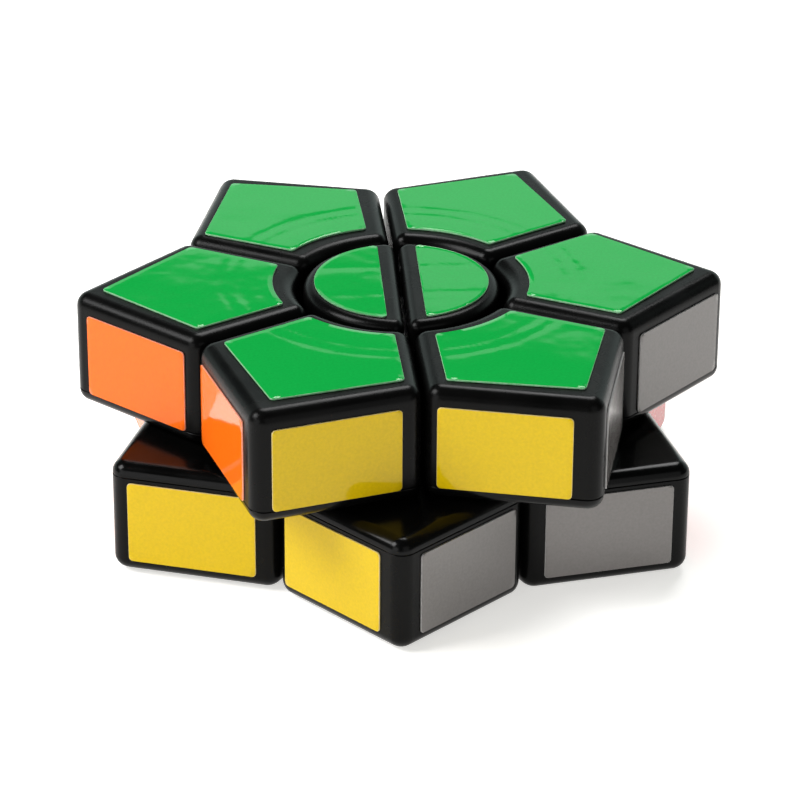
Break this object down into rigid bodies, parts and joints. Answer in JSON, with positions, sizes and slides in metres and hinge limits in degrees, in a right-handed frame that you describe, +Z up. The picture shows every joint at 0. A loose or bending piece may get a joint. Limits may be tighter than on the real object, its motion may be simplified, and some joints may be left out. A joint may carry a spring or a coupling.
{
  "type": "star twisty puzzle",
  "caption": "Two-layer twisty puzzle in the shape of a six-pointed star, with kite-shaped pieces turning around a round, split centre.",
  "frame": {"origin": "middle of the underside, on the axis that both layers turn about", "axes": "+Z up along the layers' axis; X = 0 is the slice plane between the two core halves; the pivot screw lies along X"},
  "size_m": [0.0934, 0.0934, 0.035],
  "materials": {
    "black_plastic": "satin, finely grained",
    "core_plastic": "plain moulded",
    "steel": "zinc plated",
    "top_sticker": "glossy vinyl",
    "bottom_sticker": "glossy vinyl",
    "orange_sticker": "glossy vinyl",
    "yellow_sticker": "glossy vinyl",
    "silver_sticker": "satin metallic vinyl",
    "red_sticker": "glossy vinyl",
    "purple_sticker": "glossy vinyl",
    "white_sticker": "glossy vinyl"
  },
  "bodies": {
    "core": {"left_core_half": "core_plastic", "right_core_half": "core_plastic", "pivot_screw": "steel", "pivot_washer": "steel", "pivot_spring": "steel", "top_left_cap": "black_plastic", "top_left_cap_screw": "steel", "top_left_cap_sticker": "top_sticker", "top_right_cap": "black_plastic", "top_right_cap_screw": "steel", "top_right_cap_sticker": "top_sticker", "bottom_left_cap": "black_plastic", "bottom_left_cap_screw": "steel", "bottom_left_cap_sticker": "bottom_sticker", "bottom_right_cap": "black_plastic", "bottom_right_cap_screw": "steel", "bottom_right_cap_sticker": "bottom_sticker"},
    "top_kite_1": {"top_kite_1_shell": "black_plastic", "top_kite_1_cover": "black_plastic", "top_kite_1_sticker": "top_sticker"},
    "top_kite_2": {"top_kite_2_shell": "black_plastic", "top_kite_2_cover": "black_plastic", "top_kite_2_sticker": "top_sticker"},
    "top_kite_3": {"top_kite_3_shell": "black_plastic", "top_kite_3_cover": "black_plastic", "top_kite_3_sticker": "top_sticker"},
    "top_kite_4": {"top_kite_4_shell": "black_plastic", "top_kite_4_cover": "black_plastic", "top_kite_4_sticker": "top_sticker"},
    "top_kite_5": {"top_kite_5_shell": "black_plastic", "top_kite_5_cover": "black_plastic", "top_kite_5_sticker": "top_sticker"},
    "top_kite_6": {"top_kite_6_shell": "black_plastic", "top_kite_6_cover": "black_plastic", "top_kite_6_sticker": "top_sticker"},
    "bottom_kite_1": {"bottom_kite_1_shell": "black_plastic", "bottom_kite_1_cover": "black_plastic", "bottom_kite_1_sticker": "bottom_sticker"},
    "bottom_kite_2": {"bottom_kite_2_shell": "black_plastic", "bottom_kite_2_cover": "black_plastic", "bottom_kite_2_sticker": "bottom_sticker"},
    "bottom_kite_3": {"bottom_kite_3_shell": "black_plastic", "bottom_kite_3_cover": "black_plastic", "bottom_kite_3_sticker": "bottom_sticker"},
    "bottom_kite_4": {"bottom_kite_4_shell": "black_plastic", "bottom_kite_4_cover": "black_plastic", "bottom_kite_4_sticker": "bottom_sticker"},
    "bottom_kite_5": {"bottom_kite_5_shell": "black_plastic", "bottom_kite_5_cover": "black_plastic", "bottom_kite_5_sticker": "bottom_sticker"},
    "bottom_kite_6": {"bottom_kite_6_shell": "black_plastic", "bottom_kite_6_cover": "black_plastic", "bottom_kite_6_sticker": "bottom_sticker"}
  },
  "joints": [
    {"name": "top_kite_1_turn", "type": "hinge", "parent": "core", "child": "top_kite_1", "pos_m": [0, 0, 0.0175], "axis": [0, 0, 1], "continuous": true},
    {"name": "top_kite_2_turn", "type": "hinge", "parent": "core", "child": "top_kite_2", "pos_m": [0, 0, 0.0175], "axis": [0, 0, 1], "continuous": true},
    {"name": "top_kite_3_turn", "type": "hinge", "parent": "core", "child": "top_kite_3", "pos_m": [0, 0, 0.0175], "axis": [0, 0, 1], "continuous": true},
    {"name": "top_kite_4_turn", "type": "hinge", "parent": "core", "child": "top_kite_4", "pos_m": [0, 0, 0.0175], "axis": [0, 0, 1], "continuous": true},
    {"name": "top_kite_5_turn", "type": "hinge", "parent": "core", "child": "top_kite_5", "pos_m": [0, 0, 0.0175], "axis": [0, 0, 1], "continuous": true},
    {"name": "top_kite_6_turn", "type": "hinge", "parent": "core", "child": "top_kite_6", "pos_m": [0, 0, 0.0175], "axis": [0, 0, 1], "continuous": true},
    {"name": "bottom_kite_1_turn", "type": "hinge", "parent": "core", "child": "bottom_kite_1", "pos_m": [0, 0, 0.0175], "axis": [0, 0, 1], "continuous": true},
    {"name": "bottom_kite_2_turn", "type": "hinge", "parent": "core", "child": "bottom_kite_2", "pos_m": [0, 0, 0.0175], "axis": [0, 0, 1], "continuous": true},
    {"name": "bottom_kite_3_turn", "type": "hinge", "parent": "core", "child": "bottom_kite_3", "pos_m": [0, 0, 0.0175], "axis": [0, 0, 1], "continuous": true},
    {"name": "bottom_kite_4_turn", "type": "hinge", "parent": "core", "child": "bottom_kite_4", "pos_m": [0, 0, 0.0175], "axis": [0, 0, 1], "continuous": true},
    {"name": "bottom_kite_5_turn", "type": "hinge", "parent": "core", "child": "bottom_kite_5", "pos_m": [0, 0, 0.0175], "axis": [0, 0, 1], "continuous": true},
    {"name": "bottom_kite_6_turn", "type": "hinge", "parent": "core", "child": "bottom_kite_6", "pos_m": [0, 0, 0.0175], "axis": [0, 0, 1], "continuous": true}
  ],
  "couplings": [
    {"joint": "top_kite_2_turn", "follows": "top_kite_1_turn", "ratio": 1},
    {"joint": "top_kite_3_turn", "follows": "top_kite_1_turn", "ratio": 1},
    {"joint": "top_kite_4_turn", "follows": "top_kite_1_turn", "ratio": 1},
    {"joint": "top_kite_5_turn", "follows": "top_kite_1_turn", "ratio": 1},
    {"joint": "top_kite_6_turn", "follows": "top_kite_1_turn", "ratio": 1},
    {"joint": "bottom_kite_2_turn", "follows": "bottom_kite_1_turn", "ratio": 1},
    {"joint": "bottom_kite_3_turn", "follows": "bottom_kite_1_turn", "ratio": 1},
    {"joint": "bottom_kite_4_turn", "follows": "bottom_kite_1_turn", "ratio": 1},
    {"joint": "bottom_kite_5_turn", "follows": "bottom_kite_1_turn", "ratio": 1},
    {"joint": "bottom_kite_6_turn", "follows": "bottom_kite_1_turn", "ratio": 1}
  ]
}
